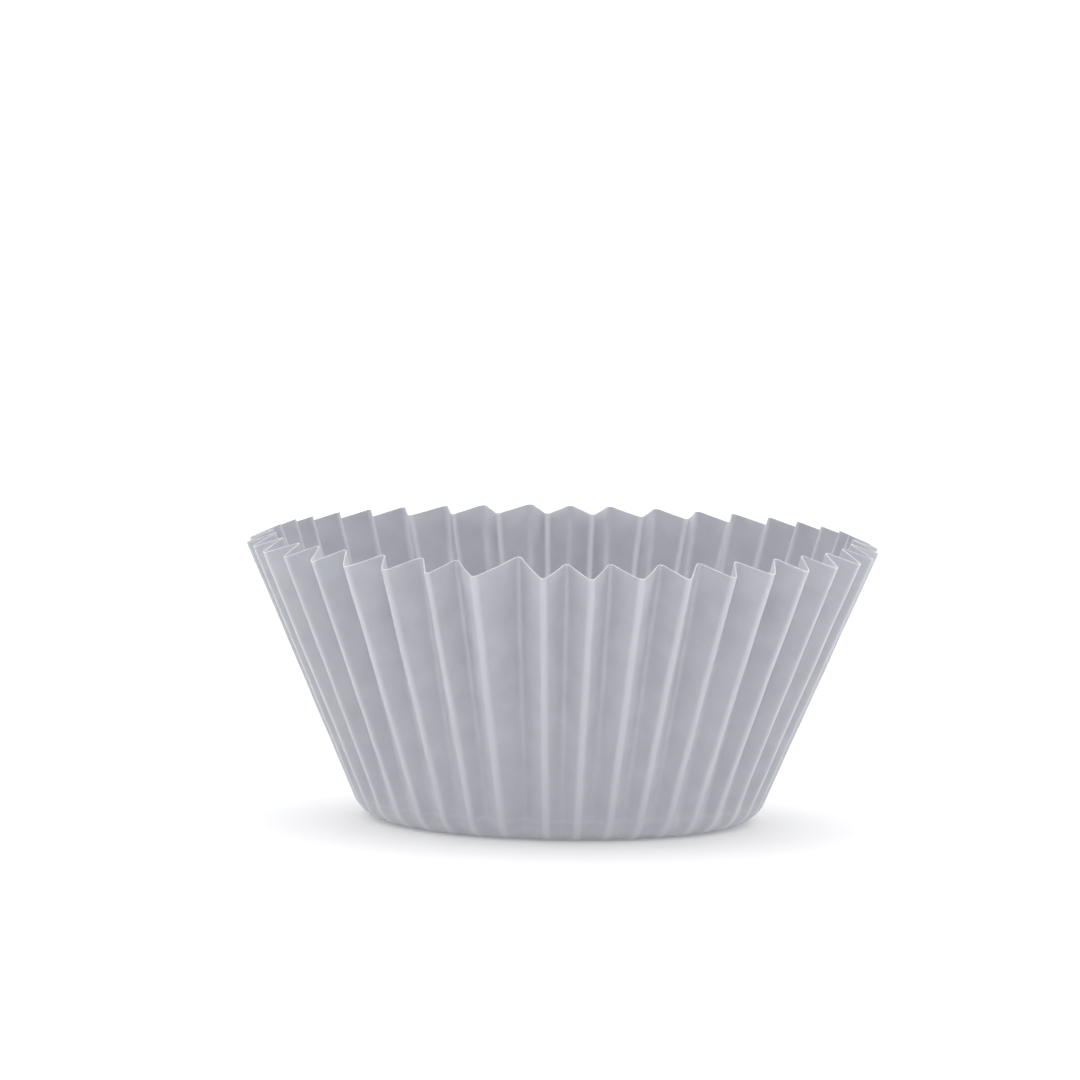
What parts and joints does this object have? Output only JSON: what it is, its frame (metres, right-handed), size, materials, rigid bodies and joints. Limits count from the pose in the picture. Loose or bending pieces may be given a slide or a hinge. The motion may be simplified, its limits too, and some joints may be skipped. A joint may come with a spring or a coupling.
{
  "type": "cupcake liner",
  "caption": "Round fluted paper baking cup, open at the top, with a flat base, a rounded bend and an outward-leaning pleated wall that ends in a zigzag rim.",
  "frame": {"origin": "centre of the base, on the surface that the cup stands on", "axes": "+Z is the cup's axis, from the base towards the open mouth; the front, with the one wide pleat, faces -Y"},
  "size_m": [0.0735, 0.0735, 0.0338],
  "materials": {
    "greaseproof_paper": "matt white greaseproof paper, slightly translucent"
  },
  "bodies": {
    "root": {"pleated_cup": "greaseproof_paper"}
  },
  "joints": []
}
